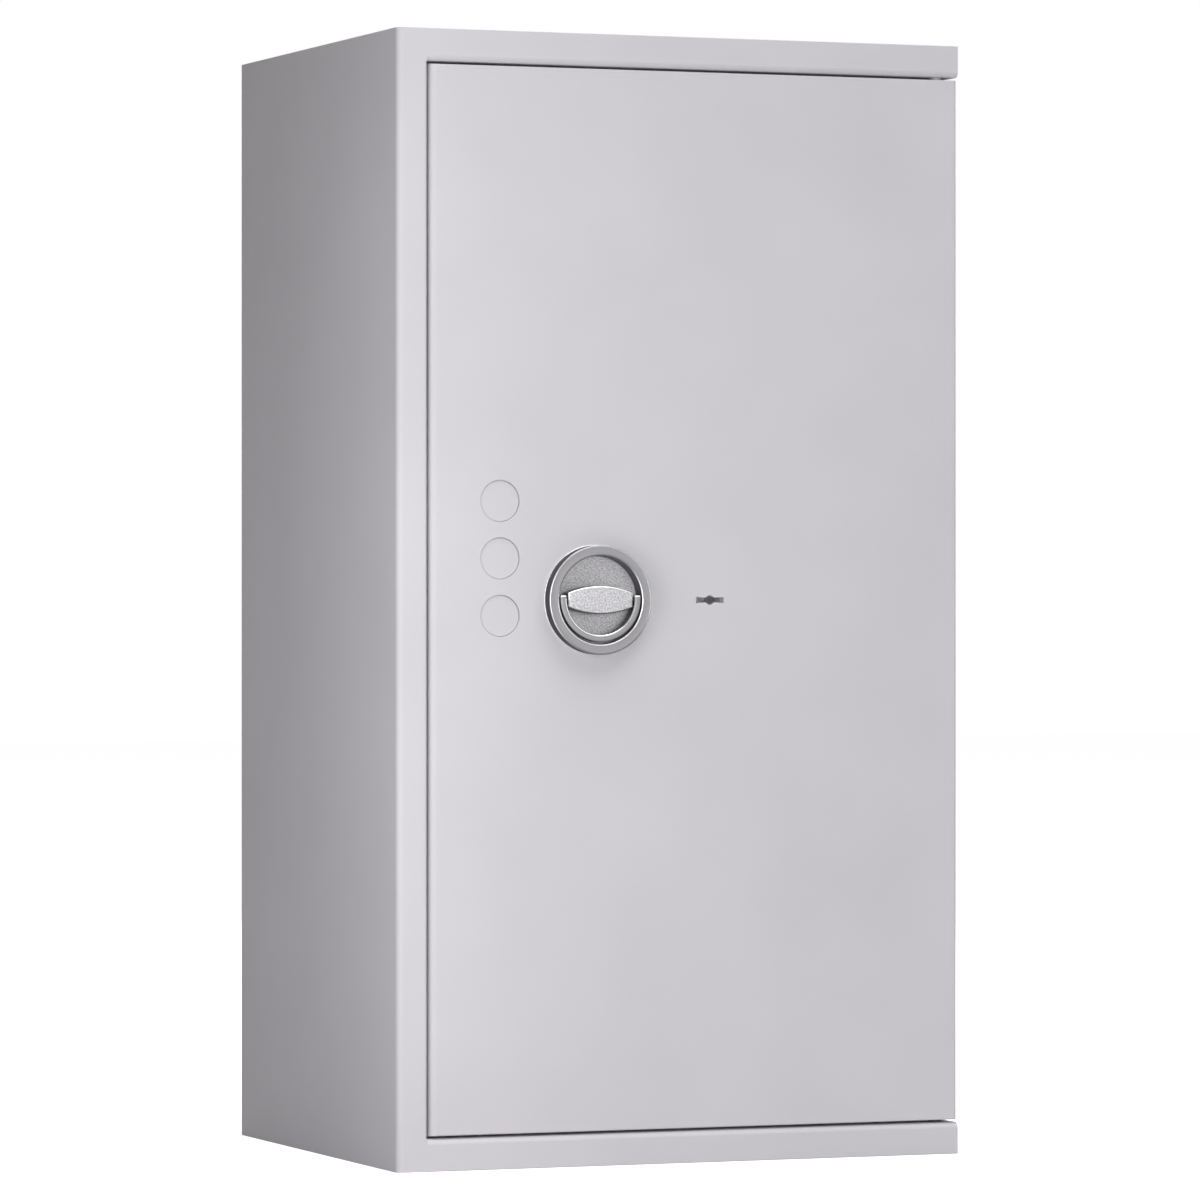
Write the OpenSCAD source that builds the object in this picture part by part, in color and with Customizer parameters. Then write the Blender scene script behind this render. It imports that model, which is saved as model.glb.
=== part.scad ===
// Steel security cabinet with a pivot-hung door, turning bail handle, bolts on three sides and a key lock.
// Millimetres. Origin at the centre of the base, +Z up, the front faces -Y and the door hangs on the right.

/* [Cabinet] */
// Overall width
width = 500; // [420:5:640]
// Overall height
height = 930; // [800:5:1100]
// Overall depth of the cabinet, without the handle
depth = 400; // [320:5:520]
// Thickness of the cabinet's sheet steel
wall = 3; // [2:0.5:4]
// Width of the front stile on the lock side
stile_w = 26; // [20:1:32]
// Height of the front rails at top and bottom
rail_h = 26.5; // [22:0.5:34]
// Outer radius of the stile's folded corner
corner_r = 5; // [4:0.5:8]
// Outer radius of the rails' rolled inner edge
roll_r = 5; // [4:0.5:8]
// Radius of the stile's inner edge
stile_edge_r = 2.5; // [0.5:0.25:2.75]
// Radius along the outer top and bottom edges
outer_edge_r = 0.8; // [0.4:0.1:1.5]
// How far the stop lips stand into the opening
lip_w = 15; // [10:1:18]
// Gap between the door's back and the stop lips
lip_gap = 3; // [2:0.5:5]

/* [Wall fixing] */
// Distance between the anchor holes along the width
anchor_dx = 300; // [200:10:340]
// Distance between the anchor holes along the height
anchor_dz = 600; // [400:10:680]
// Height of the anchor pattern's centre above the base
anchor_z = 465; // [420:5:520]
// Radius of an anchor hole
anchor_r = 6; // [4:0.5:8]

/* [Shelves] */
// Height of the lower shelf's upper face
lower_shelf_z = 320; // [220:50:370]
// Height of the upper shelf's upper face
upper_shelf_z = 620; // [520:50:720]
// Thickness of the shelves' sheet
shelf_t = 1.5; // [1:0.5:2]
// Height of a shelf's turned-down edges
shelf_edge = 20; // [15:1:26]
// Width of a perforated shelf rail
shelf_rail_w = 22; // [18:1:28]
// Spacing of the slots in the shelf rails
slot_pitch = 50; // [50:50:100]
// Height of the lowest slot above the base
first_slot_z = 70; // [70:50:120]
// Distance of the front and rear shelf rails from the shelf's edges
shelf_rail_inset = 45; // [35:1:60]

/* [Door] */
// Thickness of the folded door leaf
door_t = 22; // [20:1:28]
// Thickness of the door's sheet
door_sheet = 3; // [2:0.5:3.5]
// How far the door's face lies behind the rails
door_inset = 1; // [0:0.5:3]
// Gap between door and stile
side_gap = 2.5; // [1.5:0.1:4]
// Gap above the door
top_gap = 2.2; // [1.8:0.1:4]
// Gap below the door
bottom_gap = 2.3; // [1.8:0.1:4]
// Step between the cabinet's side and the door's edge on the hinge side
hinge_reveal = 0.5; // [0.5:0.5:3]
// Radius of the door's front edge on the opening side
door_edge_r = 6; // [3.5:0.5:7]
// Radius of the door's front edge on the hinge side
door_hinge_edge_r = 3; // [3:0.5:6]
// Radius of the door's top and bottom front edges
door_rim_r = 1; // [0.5:0.25:2]
// Width of the turned-in edges at the door's back
door_return_w = 25; // [20:1:32]
// Distance of the pivot axis from the cabinet's side
pivot_side = 16; // [13:0.5:18]
// Distance of the pivot axis behind the front plane
pivot_depth = 12; // [11:0.5:14]
// Radius of the pivot pins
pivot_r = 4; // [3:0.5:5]
// Radius of the pivot washers
washer_r = 5.5; // [5.5:0.5:7]

/* [Blanking discs] */
// Radius of a blanking disc's face
blank_r = 17; // [14:0.25:20]
// How far a blanking disc's face lies behind the door's face
blank_recess = 1.2; // [0:0.1:2]
// Distance of the discs' column from the handle's axis
blank_dx = 83.5; // [80:0.5:90]
// Spacing of the discs
blank_pitch = 46.9; // [44:0.1:60]
// Height of the middle disc
blank_z = 499; // [480:1:520]

/* [Handle] */
// Handle's centre from the door's left edge
handle_inset = 144.5; // [120:0.5:160]
// Height of the handle's axis
handle_z = 465; // [440:1:490]
// Outer radius of the handle's ring
ring_r = 45; // [43:0.5:48]
// Radius of the finger cup
cup_r = 36.5; // [36.5:0.25:38]
// How far the ring stands in front of the door
ring_proud = 13; // [10:0.5:14]
// Depth of the finger cup from the ring's face
cup_depth = 13; // [12:0.5:15]
// Radius of the ring's outer and inner lips
lip_r = 0.9; // [0.5:0.1:1.2]
// Length of the grip bar
bar_len = 57; // [50:0.5:58]
// Height of the grip bar in its middle
bar_mid_h = 23; // [18:0.1:26]
// Height of the grip bar at its ends
bar_end_h = 12; // [10:0.5:14]
// Outer radius of the bail
bail_r = 35.5; // [34.5:0.25:35.5]
// Width of the bail seen from the front
bail_w = 5.75; // [4:0.25:6]
// Thickness of the bail
bail_t = 6; // [5:0.5:7]
// Height of the bail's arc centre above its pivot
bail_arc_up = 1.2; // [0:0.1:1.5]
// How far the bail's arms reach above its pivot
bail_top = 3.9; // [3.5:0.1:5]
// Radius of the bail's pivot pin
bail_pin_r = 1.8; // [1.2:0.1:2]

/* [Boltwork] */
// Travel of every bolt
bolt_throw = 18; // [12:1:20]
// Radius of the side bolts and of the top and bottom rods
bolt_r = 6; // [4:0.5:7]
// Height of the upper and lower side bolts from the middle one
bolt_pitch = 290; // [200:5:320]
// Gap between a drawn bolt and the lip it has to pass
bolt_clear = 4; // [3:0.5:6]
// Gap between the bolts and the back of the lips
bolt_behind = 3.5; // [2:0.5:6]
// Distance of a cam pin from the handle's axis with the bolts drawn
cam_pin_start = 14; // [13:0.5:16]
// Radius of the cam pins
cam_pin_r = 3; // [2.5:0.25:3.5]
// Radius of the cam disc
cam_r = 50; // [48:0.5:52]
// Thickness of the cam disc
cam_t = 4; // [3:0.5:5]
// Thickness of the links and of the side bolt bar
link_t = 4; // [3:0.5:5]
// Width of the links
link_w = 16; // [14:0.5:16]
// Width of the side bolt bar
bar_w = 30; // [24:1:34]
// Thickness of the boltwork plate
plate_t = 3; // [2:0.5:3]
// Radius of the handle's spindle
spindle_r = 7; // [6:0.25:7.5]

/* [Lock] */
// Distance of the keyhole from the handle's axis
lock_dx = 102; // [100:1:110]
// Length of the keyhole
key_len = 24.8; // [20:0.2:26]
// Height of the keyhole at its ends
key_end_h = 5; // [4:0.2:6]
// Height of the keyhole at its waist
key_waist_h = 3.6; // [3:0.2:5]
// Radius of the round middle of the keyhole
key_hub_r = 4; // [3:0.2:5]
// Travel of the lock's own bolt
lock_throw = 12; // [8:1:13]
// Height of the lock's bolt
lock_bolt_h = 16; // [12:1:20]
// Height of the lock case
lock_case_h = 64; // [56:2:80]
// Depth of the lock case
lock_case_d = 24; // [22:1:28]

/* [Hidden] */

// Fits and small clearances
running_gap = 0.06;
slide_gap = 0.08;
seat_gap = 0.05;
loose_gap = 0.3;
through = 1;

// Cabinet planes
left_x = -width / 2;
right_x = width / 2;
front_y = -depth / 2;
back_y = depth / 2;
stile_x = left_x + stile_w;
inner_left_x = left_x + wall;
inner_right_x = right_x - wall;

// Door planes
door_front_y = front_y + door_inset;
door_back_y = door_front_y + door_t;
door_x0 = stile_x + side_gap;
door_x1 = right_x - hinge_reveal;
handle_x = door_x0 + handle_inset;
door_z0 = rail_h + bottom_gap;
door_z1 = height - rail_h - top_gap;
skin_back_y = door_front_y + door_sheet;
pivot_x = right_x - pivot_side;
pivot_y = front_y + pivot_depth;

// Stop lips round the opening
lip_y0 = door_back_y + lip_gap;
lip_y1 = lip_y0 + wall;
lip_x = stile_x + lip_w;
lip_z0 = rail_h + lip_w;
lip_z1 = height - lip_z0;

// Hinge side: the door's back corner sweeps past the wall, so its lip lies further back
sweep_r = norm([pivot_side - hinge_reveal - door_sheet, door_back_y - pivot_y - door_sheet]) + door_sheet;
sweep_gap = 1;
hinge_lip_y0 = ceil(pivot_y + sweep_r + sweep_gap);
hinge_lip_y1 = hinge_lip_y0 + wall;
hinge_lip_reach = 6;
rail_lip_x = floor(pivot_x - sweep_r - sweep_gap);
hinge_lip_x = pivot_x - hinge_lip_reach;
hinge_angle_foot = 40;
hinge_edge_gap = 3;
dog_gap = 2;
dog_t = 3;
dog_y0 = hinge_lip_y1 + dog_gap;
dog_reach = 4;
dog_leg_x1 = hinge_lip_x - hinge_edge_gap;
dog_leg_x0 = dog_leg_x1 - dog_t;
dog_end_gap = 28;

// Boltwork planes behind the door
plate_y0 = door_back_y;
plate_y1 = plate_y0 + plate_t;
plate_x0 = lip_x + bolt_clear;
plate_dog_gap = 2;
plate_x1 = dog_leg_x0 - plate_dog_gap;
plate_z0 = lip_z0 + bolt_clear;
plate_z1 = lip_z1 - bolt_clear;
bolt_y = lip_y1 + bolt_behind + bolt_r;
link_y0 = bolt_y - link_t / 2;
link_y1 = bolt_y + link_t / 2;
circlip_t = 1.2;
cam_link_gap = 2.5;
cam_y1 = link_y0 - cam_link_gap;
cam_y0 = cam_y1 - cam_t;

// Side bolts and their bar
guide_t = 8;
guide_half = 12;
guide_wall = 6;
guide_inset = 3;
guide_corner_r = 2;
guide_x0 = plate_x0 + guide_inset;
guide_x1 = guide_x0 + guide_t;
bolt_tip_x = plate_x0;
bolt_in_guide = 5;
bar_x0 = guide_x1 + bolt_in_guide + bolt_throw;
bar_x1 = bar_x0 + bar_w;
bar_over = 25;
tip_bevel = 1.5;
pin_over = 0.5;

// Top and bottom rods
rod_tip_z0 = plate_z0;
rod_tip_z1 = plate_z1;
rod_lap = 10;
rod_cam_gap = 2;
rod_start = cam_r + rod_cam_gap + rod_lap;
guide_z_gap = 11;
inner_guide_dz = 105;

// Lock
lock_x = handle_x + lock_dx;
lock_bolt_gap = 2;
lock_bolt_tip = handle_x + cam_r + lock_bolt_gap;
lock_case_wall = 2;
lock_case_gap = 4;
lock_case_reach = 38;
lock_corner_r = 3;
lock_case_x0 = lock_bolt_tip + lock_case_gap;
lock_case_x1 = lock_x + lock_case_reach;
lock_y1 = plate_y1 + lock_case_d;
drum_gap = 2.6;
drum_r = key_len / 2 + drum_gap;
drum_end_gap = 2;
journal_r = 7;
lock_bolt_t = 5;
lock_bolt_y = (cam_y0 + cam_y1) / 2;
notch_gap = 1;
notch_floor = cam_r + lock_bolt_gap - lock_throw - notch_gap;
lock_screw_r = 2;
lock_screw_inset = 7;
lock_screw_floor = 6;
lock_pillar_r = 6;
lock_screw_head_r = 3.6;
lock_screw_head_h = 2;
key_slide_gap = 0.2;
key_plate_gap = 0.5;

// Rear cover
cover_t = 1.2;
cover_clear = 3;
cover_y1 = max(lock_y1, bolt_y + bolt_r) + cover_clear + cover_t;
cover_guide_gap = 2;
cover_inset = 7;
cover_x0 = guide_x1 + cover_guide_gap;
cover_x1 = plate_x1 - cover_inset;
cover_z0 = plate_z0 + guide_z_gap + guide_t + cover_guide_gap;
cover_z1 = plate_z1 - guide_z_gap - guide_t - cover_guide_gap;
cover_hole_gap = 1;
cover_edge_r = 3;
post_r = 5;
post_inset = 14;
post_bar_gap = 8;
post_bore = 12;
post_bore_end = 2;
screw_r = 2;
screw_head_r = 4;
screw_head_h = 2.4;

// Handle planes
ring_y = door_front_y - ring_proud;
cup_floor_y = ring_y + cup_depth;
cup_wall = 2;
cup_back_y = cup_floor_y + cup_wall;
cup_out_r = cup_r + cup_wall;
ring_skirt_t = 2.5;
ring_face_t = 3.5;
rose_t = 1.5;
rose_over = 0.3;
rose_edge_r = 0.5;
rose_y0 = door_front_y - rose_t;
rose_in_r = cup_out_r + loose_gap;
rose_wall = 2.2;
rose_out_r = rose_in_r + rose_wall;
rose_tail = 6;
nut_w = 6;
nut_t = 3.5;
bail_y = ring_y + bail_t / 2;
flange_r = 16;
flange_t = 3;
square_side = 9.6;
stub_r = 4.5;
stub_over = 0.6;
stub_len = circlip_t + stub_over;
clip_ring_w = 3;
clip_mouth = 2;
bush_wall = 3;
bush_flange = 3;
bush_flange_t = 2;

// Shelves
shelf_cover_gap = 12;
shelf_back_gap = 6;
shelf_y0 = cover_y1 + shelf_cover_gap;
shelf_y1 = back_y - wall - shelf_back_gap;
shelf_bend_r = 3;
slot_margin = 20;
shelf_side_gap = 2;
shelf_rail_t = 2;
slot_w = 10;
slot_h = 5;
clip_t = 1.5;
clip_reach = 14;
clip_w = 16;
clip_h = 12;

// Pivot seats
bush_len = 15;
pivot_bush_wall = 2.5;
bush_r = pivot_r + pivot_bush_wall;
washer_play = 0.2;
pin_head_r = 6;
pin_head_t = 3;
pin_end_gap = 1;

// --- Shapes used by several pieces ---

// Extrudes an outline drawn in Y and Z along +X from x0 to x1.
module along_x(x0, x1) translate([x0, 0, 0]) rotate([90, 0, 90]) linear_extrude(x1 - x0) children();

// Extrudes an outline drawn in X and Z along +Y from y0 to y1.
module along_y(y0, y1) translate([0, y1, 0]) rotate([90, 0, 0]) linear_extrude(y1 - y0) children();

// Extrudes an outline drawn in X and Y along +Z from z0 to z1.
module along_z(z0, z1) translate([0, 0, z0]) linear_extrude(z1 - z0) children();

// A box between two corners.
module block(a, b) translate(a) cube(b - a);

// A round bar along +Y.
module rod_y(x, z, r, y0, y1) translate([x, y1, z]) rotate([90, 0, 0]) cylinder(r = r, h = y1 - y0, $fn = 96);

// A round bar along +X.
module rod_x(y, z, r, x0, x1) translate([x0, y, z]) rotate([0, 90, 0]) cylinder(r = r, h = x1 - x0, $fn = 96);

// A round bar along +Z.
module rod_z(x, y, r, z0, z1) translate([x, y, z0]) cylinder(r = r, h = z1 - z0, $fn = 96);

// A body turned about an axis along Y through x and z. Its outline gives radius and y.
module turned(x, z) translate([x, 0, z]) rotate([-90, 0, 0]) rotate_extrude($fn = 128) children();

// A rectangle between two corners.
module rect(a, b) translate(a) square(b - a);

// A rectangle between two corners with all four corners rounded.
module round_rect(a, b, r) {
    rect([a[0] + r, a[1]], [b[0] - r, b[1]]);
    rect([a[0], a[1] + r], [b[0], b[1] - r]);
    for (x = [a[0] + r, b[0] - r], y = [a[1] + r, b[1] - r])
        translate([x, y]) circle(r = r, $fn = 64);
}

// The waste outside a rounded corner whose tip is p and whose sides run along sx and sy.
module corner_waste(p, sx, sy, r)
    difference() {
        rect([min(p[0] - sx, p[0] + sx * r), min(p[1] - sy, p[1] + sy * r)],
            [max(p[0] - sx, p[0] + sx * r), max(p[1] - sy, p[1] + sy * r)]);
        translate([p[0] + sx * r, p[1] + sy * r]) circle(r = r, $fn = 64);
    }

function unit(v) = v / norm(v);

// The smallest rectangle over two points, grown by g all round.
module span(a, b, g)
    rect([min(a[0], b[0]) - g, min(a[1], b[1]) - g], [max(a[0], b[0]) + g, max(a[1], b[1]) + g]);

// One straight leg of a folded sheet from a to b. It runs on by half the sheet where a bend follows.
module leg(a, b, bend_a, bend_b, t) {
    d = unit(b - a);
    side = [abs(d[1]), abs(d[0])] * t / 2;
    p = a - d * (bend_a ? t / 2 : 0);
    q = b + d * (bend_b ? t / 2 : 0);
    rect([min(p[0], q[0]), min(p[1], q[1])] - side, [max(p[0], q[0]), max(p[1], q[1])] + side);
}

// The section of a folded sheet: its middle line, the outer radius of each bend, and its thickness.
module folded(points, radii, t) {
    last = len(points) - 1;
    difference() {
        union() {
            for (i = [0 : last - 1])
                leg(points[i], points[i + 1], i > 0, i < last - 1, t);
            for (i = [1 : last - 1])
                if (radii[i - 1] > t)
                    inner_fillet(points[i], bend_tip(points, i), radii[i - 1] - t, t);
        }
        for (i = [1 : last - 1]) {
            tip = bend_tip(points, i);
            corner_waste(points[i] + tip * t / 2, -tip[0], -tip[1], radii[i - 1]);
        }
    }
}

// The direction from a bend's middle to its outer tip.
function bend_tip(points, i) = unit(points[i] - points[i - 1]) - unit(points[i + 1] - points[i]);

// The rounded inside of a bend at p, reaching into both legs.
module inner_fillet(p, tip, r, t) {
    centre = p - tip * (t / 2 + r);
    difference() {
        span(p, centre, 0);
        translate(centre) circle(r = r, $fn = 64);
    }
}

// Draws a piece again, mirrored about the cabinet's half height.
module upside_down() translate([0, 0, height]) mirror([0, 0, 1]) children();

// --- Cabinet ---

// Side sheet with the front stile folded round a rounded corner.
module left_side_panel()
    color("gainsboro")
        difference() {
            along_z(0, height)
                folded([[left_x + wall / 2, back_y], [left_x + wall / 2, front_y + wall / 2],
                    [stile_x, front_y + wall / 2]], [corner_r], wall);
            along_z(rail_h, height - rail_h)
                corner_waste([stile_x, front_y], -1, 1, stile_edge_r);
        }

// Angle welded behind the stile: its inner side closes the opening and its lip stops the bolts.
module left_stop_angle()
    color("gainsboro") {
        along_z(rail_h, height - rail_h)
            rect([stile_x - wall, front_y + wall], [stile_x, lip_y1]);
        along_z(lip_z0, lip_z1)
            rect([stile_x - wall / 2, lip_y0], [lip_x, lip_y1]);
    }

// Side sheet on the hinge side. It starts behind the door's edge, so that the door can swing past it.
module right_side_panel()
    color("gainsboro") block([inner_right_x, lip_y0, wall], [right_x, back_y, height - wall]);

// Flat sheet between the side sheets, with the front-left corner fitted into the stile's fold.
module floor_sheet()
    along_z(0, wall)
        difference() {
            rect([inner_left_x, front_y + wall], [right_x, back_y]);
            corner_waste([inner_left_x, front_y + wall], 1, 1, corner_r - wall);
        }

// Front rail: the face with its rolled edge, the return and the stop lip, and a plate in its free end.
// The lip ends where the door's back corner sweeps past.
module rail() {
    mid = wall / 2;
    difference() {
        union() {
            along_x(stile_x, right_x)
                difference() {
                    folded([[front_y + mid, 0], [front_y + mid, rail_h - mid], [lip_y0 + mid, rail_h - mid],
                        [lip_y0 + mid, lip_z0]], [roll_r, wall], wall);
                    corner_waste([front_y, 0], 1, 1, outer_edge_r);
                }
            along_x(inner_right_x, right_x)
                rect([front_y + mid, wall], [lip_y0, rail_h - roll_r]);
            along_x(inner_right_x, right_x)
                rect([front_y + roll_r, wall], [lip_y0, rail_h - mid]);
        }
        block([inner_right_x, lip_y0, 0], [right_x + through, back_y, rail_h]);
        block([rail_lip_x, lip_y0 - loose_gap, rail_h], [right_x + through, back_y, lip_z0 + through]);
        rod_z(pivot_x, pivot_y, pivot_r + seat_gap, rail_h - wall - through, rail_h + through);
    }
}

module floor_panel() color("gainsboro") floor_sheet();

module roof_panel() color("gainsboro") upside_down() floor_sheet();

module bottom_rail() color("gainsboro") rail();

module top_rail() color("gainsboro") upside_down() rail();

// Rear sheet between the walls, with the anchor holes.
module back_panel()
    color("gainsboro")
        difference() {
            block([inner_left_x, back_y - wall, wall], [inner_right_x, back_y, height - wall]);
            for (sx = [-1, 1], sz = [-1, 1])
                rod_y(sx * anchor_dx / 2, anchor_z + sz * anchor_dz / 2, anchor_r,
                    back_y - wall - through, back_y + through);
        }

// Angle welded inside the hinge-side wall. The dog bar hooks behind it.
module hinge_side_angle()
    color("gainsboro")
        along_z(lip_z0, lip_z1)
            folded([[inner_right_x - wall / 2, hinge_lip_y0 + hinge_angle_foot],
                [inner_right_x - wall / 2, hinge_lip_y0 + wall / 2],
                [hinge_lip_x, hinge_lip_y0 + wall / 2]], [wall], wall);

// Middles of the four shelf rails along Y.
shelf_rail_ys = [shelf_y0 + shelf_rail_inset, shelf_y1 - shelf_rail_inset];
slot_count = floor((height - 2 * first_slot_z) / slot_pitch) + 1;
shelf_rail_z1 = first_slot_z + (slot_count - 1) * slot_pitch + slot_margin;

// Perforated strips on the side walls.
module shelf_rails()
    color("silver")
        for (y = shelf_rail_ys, side = [0, 1])
            mirror([side, 0, 0])
                along_x(inner_left_x, inner_left_x + shelf_rail_t)
                    difference() {
                        rect([y - shelf_rail_w / 2, first_slot_z - slot_margin],
                            [y + shelf_rail_w / 2, shelf_rail_z1]);
                        for (i = [0 : slot_count - 1])
                            rect([y - slot_w / 2, first_slot_z + i * slot_pitch - slot_h / 2],
                                [y + slot_w / 2, first_slot_z + i * slot_pitch + slot_h / 2]);
                    }

// A clip: a ledge under the shelf, a plate against the rail and a tongue in its slot.
module shelf_clip(y, shelf_z) {
    x0 = inner_left_x + shelf_rail_t;
    top = shelf_z - shelf_t;
    along_y(y - clip_w / 2, y + clip_w / 2) {
        rect([x0, top - clip_t], [x0 + clip_reach, top]);
        rect([x0, top - clip_h], [x0 + clip_t, top - clip_t]);
    }
    tongue_z = first_slot_z + round((top - clip_h / 2 - first_slot_z) / slot_pitch) * slot_pitch;
    block([inner_left_x, y - slot_w / 2 + loose_gap, tongue_z - slot_h / 2 + loose_gap],
        [x0, y + slot_w / 2 - loose_gap, tongue_z + slot_h / 2 - loose_gap]);
    block([x0, y - slot_w / 2 + loose_gap, min(tongue_z - slot_h / 2 + loose_gap, top - clip_h)],
        [x0 + clip_t, y + slot_w / 2 - loose_gap, max(tongue_z + slot_h / 2 - loose_gap, top - clip_t)]);
}

module shelf_clips()
    color("silver")
        for (shelf_z = [lower_shelf_z, upper_shelf_z], y = shelf_rail_ys, side = [0, 1])
            mirror([side, 0, 0]) shelf_clip(y, shelf_z);

// A shelf: a sheet with its front and rear edges turned down.
module shelf(z) {
    mid = shelf_t / 2;
    x0 = inner_left_x + shelf_rail_t + shelf_side_gap;
    along_x(x0, -x0)
        folded([[shelf_y0 + mid, z - shelf_edge], [shelf_y0 + mid, z - mid], [shelf_y1 - mid, z - mid],
            [shelf_y1 - mid, z - shelf_edge]], [shelf_bend_r, shelf_bend_r], shelf_t);
}

module lower_shelf() color("lightgray") shelf(lower_shelf_z);

module upper_shelf() color("lightgray") shelf(upper_shelf_z);

// A pivot pin through the floor rail's return, with its head inside the rail.
module pivot_pin(gap) {
    rod_z(pivot_x, pivot_y, pivot_r, rail_h - wall, rail_h + gap + bush_len - pin_end_gap);
    rod_z(pivot_x, pivot_y, pin_head_r, rail_h - wall - pin_head_t, rail_h - wall);
}

module pivot_pins()
    color("silver") {
        pivot_pin(bottom_gap);
        upside_down() pivot_pin(top_gap);
    }

// A washer on the rail that leaves a little play to the door.
module pivot_washer(gap)
    difference() {
        rod_z(pivot_x, pivot_y, washer_r, rail_h, rail_h + gap - washer_play);
        rod_z(pivot_x, pivot_y, pivot_r + running_gap, rail_h - through, rail_h + gap + through);
    }

module pivot_washers()
    color("silver") {
        pivot_washer(bottom_gap);
        upside_down() pivot_washer(top_gap);
    }

// --- Door ---

// Folded pan: the face, rounded side edges and turned-in back edges.
module door_pan() {
    mid = door_sheet / 2;
    along_z(door_z0, door_z1)
        folded([[door_x0 + door_return_w, door_back_y - mid], [door_x0 + mid, door_back_y - mid],
            [door_x0 + mid, door_front_y + mid], [door_x1 - mid, door_front_y + mid],
            [door_x1 - mid, door_back_y - mid], [door_x1 - door_return_w, door_back_y - mid]],
            [door_sheet, door_edge_r, door_hinge_edge_r, door_sheet], door_sheet);
    for (z = [door_z0, door_z1 - door_sheet])
        block([door_x0 + door_sheet, skin_back_y - mid, z],
            [door_x1 - door_sheet, door_back_y - mid, z + door_sheet]);
    for (z = [door_z0, door_z1 - door_return_w])
        block([door_x0 + door_sheet, door_back_y - door_sheet, z],
            [door_x1 - door_sheet, door_back_y, z + door_return_w]);
}

// The keyhole's outline about its own centre: two flared ends, a waist and a round middle.
module keyhole_outline(grow) {
    half = key_len / 2;
    for (side = [-1, 1])
        polygon([[0, -key_waist_h / 2 - grow], [side * (half + grow), -key_end_h / 2 - grow],
            [side * (half + grow), key_end_h / 2 + grow], [0, key_waist_h / 2 + grow]]);
    circle(r = key_hub_r + grow, $fn = 64);
}

module keyhole(y0, y1, grow) translate([lock_x, 0, handle_z]) along_y(y0, y1) keyhole_outline(grow);

blank_x = handle_x - blank_dx;
blank_fit = 0.2;
blank_flange_w = 3;
blank_flange_t = 2;
blank_rim_r = 0.9;

module door_skin()
    color("gainsboro")
        difference() {
            door_pan();
            along_x(door_x0 - through, door_x1 + through) {
                corner_waste([door_front_y, door_z0], 1, 1, door_rim_r);
                corner_waste([door_front_y, door_z1], 1, -1, door_rim_r);
            }
            rod_y(handle_x, handle_z, rose_out_r + loose_gap,
                door_front_y - through, skin_back_y + through);
            keyhole(door_front_y - through, skin_back_y + through, 0);
            for (i = [-1 : 1])
                rod_y(blank_x, blank_z + i * blank_pitch, blank_r + blank_fit,
                    door_front_y - through, skin_back_y + through);
            for (z = [door_z0, door_z1 - door_sheet])
                rod_z(pivot_x, pivot_y, bush_r + seat_gap, z - through, z + door_sheet + through);
        }

// A bush in the door's lower edge, standing on z.
module pivot_bush(z)
    difference() {
        rod_z(pivot_x, pivot_y, bush_r, z, z + bush_len);
        rod_z(pivot_x, pivot_y, pivot_r + running_gap, z - through, z + bush_len + through);
    }

module pivot_bushes()
    color("goldenrod") {
        pivot_bush(door_z0);
        pivot_bush(door_z1 - bush_len);
    }

// A blanking disc sunk a little into the door's face, held by its flange behind the sheet.
module blanking_disc(i)
    color("gainsboro")
        turned(blank_x, blank_z + i * blank_pitch) {
            difference() {
                rect([0, door_front_y + blank_recess], [blank_r, skin_back_y]);
                corner_waste([blank_r, door_front_y + blank_recess], -1, 1, blank_rim_r);
            }
            rect([0, skin_back_y], [blank_r + blank_flange_w, skin_back_y + blank_flange_t]);
        }

// Fixed rose: a thin rim on the door's face and a neck through it that the handle turns in.
module handle_rose()
    color("darkgray")
        turned(handle_x, handle_z) {
            difference() {
                rect([rose_in_r, rose_y0], [ring_r + rose_over, door_front_y]);
                corner_waste([ring_r + rose_over, rose_y0], -1, 1, rose_edge_r);
            }
            rect([rose_in_r, door_front_y], [rose_out_r, skin_back_y + rose_tail]);
        }

module rose_nut()
    color("silver")
        turned(handle_x, handle_z)
            round_rect([rose_out_r + seat_gap, skin_back_y], [rose_out_r + nut_w, skin_back_y + nut_t],
                lip_r);

// Inner plate that carries the boltwork, with its bores for spindle, key and posts.
module boltwork_plate()
    color("lightgray")
        difference() {
            block([plate_x0, plate_y0, plate_z0], [plate_x1, plate_y1, plate_z1]);
            rod_y(handle_x, handle_z, spindle_r + bush_wall + seat_gap,
                plate_y0 - through, plate_y1 + through);
            keyhole(plate_y0 - through, plate_y1 + through, key_plate_gap);
        }

// Fixed bar along the hinge side that hooks behind the cabinet's angle.
module hinge_dog_bar()
    color("silver")
        along_z(lip_z0 + dog_end_gap, lip_z1 - dog_end_gap)
            folded([[dog_leg_x0 + dog_t / 2, door_back_y], [dog_leg_x0 + dog_t / 2, dog_y0 + dog_t / 2],
                [pivot_x + dog_reach, dog_y0 + dog_t / 2]], [dog_t], dog_t);

// Heights of the side bolts.
side_bolt_zs = [handle_z - bolt_pitch, handle_z, handle_z + bolt_pitch];

module bolt_guides()
    color("silver")
        for (z = side_bolt_zs)
            difference() {
                along_x(guide_x0, guide_x1)
                    round_rect([plate_y1, z - guide_half], [bolt_y + bolt_r + guide_wall, z + guide_half],
                        guide_corner_r);
                rod_x(bolt_y, z, bolt_r + slide_gap, guide_x0 - through, guide_x1 + through);
            }

// Lower faces of the rods' guides.
rod_guide_zs = [plate_z0 + guide_z_gap, handle_z - inner_guide_dz - guide_t,
    handle_z + inner_guide_dz, plate_z1 - guide_z_gap - guide_t];

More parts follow.
